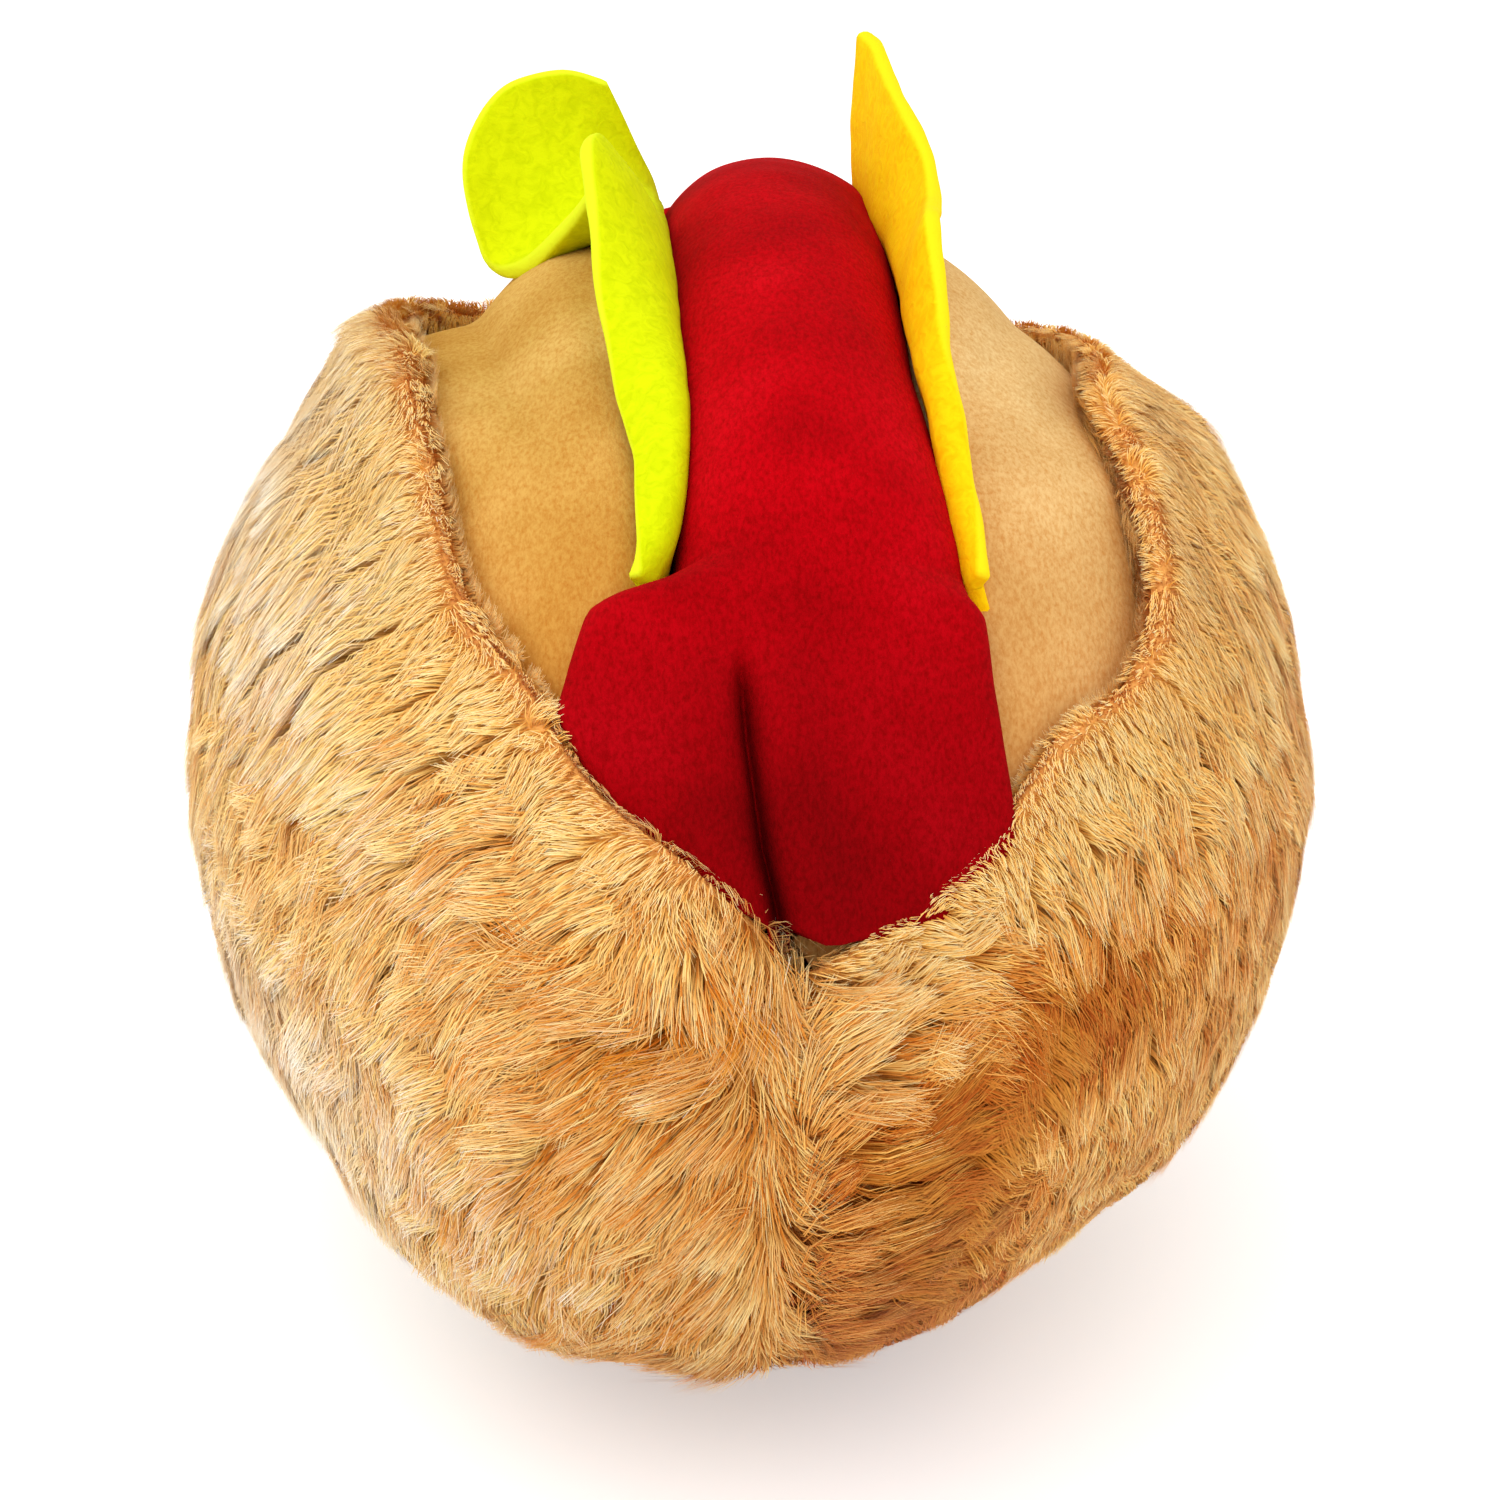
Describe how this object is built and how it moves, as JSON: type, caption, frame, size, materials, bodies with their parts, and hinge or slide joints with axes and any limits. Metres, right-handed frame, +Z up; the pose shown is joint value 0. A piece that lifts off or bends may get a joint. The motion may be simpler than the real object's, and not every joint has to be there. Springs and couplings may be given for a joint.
{
  "type": "squeaky dog toy",
  "caption": "Plush squeaky dog toy shaped as a hot dog: faux-fur bun, tan velour faces, red velour sausage, felt lettuce and cheese leaves.",
  "frame": {"origin": "on the floor under the middle of the toy", "axes": "+X to the right (cheese side), +Y along the sausage away from the near end, +Z up"},
  "size_m": [0.14, 0.19, 0.1528],
  "materials": {
    "golden_fur": "long soft pile, cream at the tips and dark gold at the roots",
    "tan_velour": "short velour pile",
    "red_velour": "short velour pile",
    "lime_felt": "pressed felt with fuzzy cut edges",
    "yellow_felt": "pressed felt with fuzzy cut edges",
    "polyester_fibre": "loose fibre",
    "soft_polyethylene": "blown, milky",
    "hard_plastic": "moulded",
    "reed_steel": "rolled strip"
  },
  "bodies": {
    "toy": {"fur_panel_left": "golden_fur", "fur_panel_right": "golden_fur", "inner_face_left": "tan_velour", "inner_face_right": "tan_velour", "sausage_cover": "red_velour", "sausage_filling": "polyester_fibre", "bun_filling_left": "polyester_fibre", "bun_filling_right": "polyester_fibre", "lettuce_seam_strip": "lime_felt", "cheese_seam_strip": "yellow_felt", "squeaker_bulb": "soft_polyethylene"},
    "lettuce_flap": {"lettuce_leaf": "lime_felt"},
    "cheese_flap": {"cheese_leaf": "yellow_felt"},
    "squeaker_valve": {"squeaker_plug": "hard_plastic", "reed_holder": "hard_plastic", "squeaker_reed": "reed_steel"}
  },
  "joints": [
    {"name": "lettuce_fold", "type": "hinge", "parent": "toy", "child": "lettuce_flap", "pos_m": [-0.0124, 0, 0.133], "axis": [0, 1, 0], "range_deg": [-45, 35], "stiffness_Nm_per_rad": 0.01},
    {"name": "cheese_fold", "type": "hinge", "parent": "toy", "child": "cheese_flap", "pos_m": [0.0214, 0, 0.133], "axis": [0, -1, 0], "range_deg": [-60, 25], "stiffness_Nm_per_rad": 0.01},
    {"name": "squeaker_squeeze", "type": "slide", "parent": "toy", "child": "squeaker_valve", "axis": [0, 0, 1], "range_m": [-0.012, 0], "stiffness_N_per_m": 250, "deforming": ["squeaker_bulb"]}
  ]
}
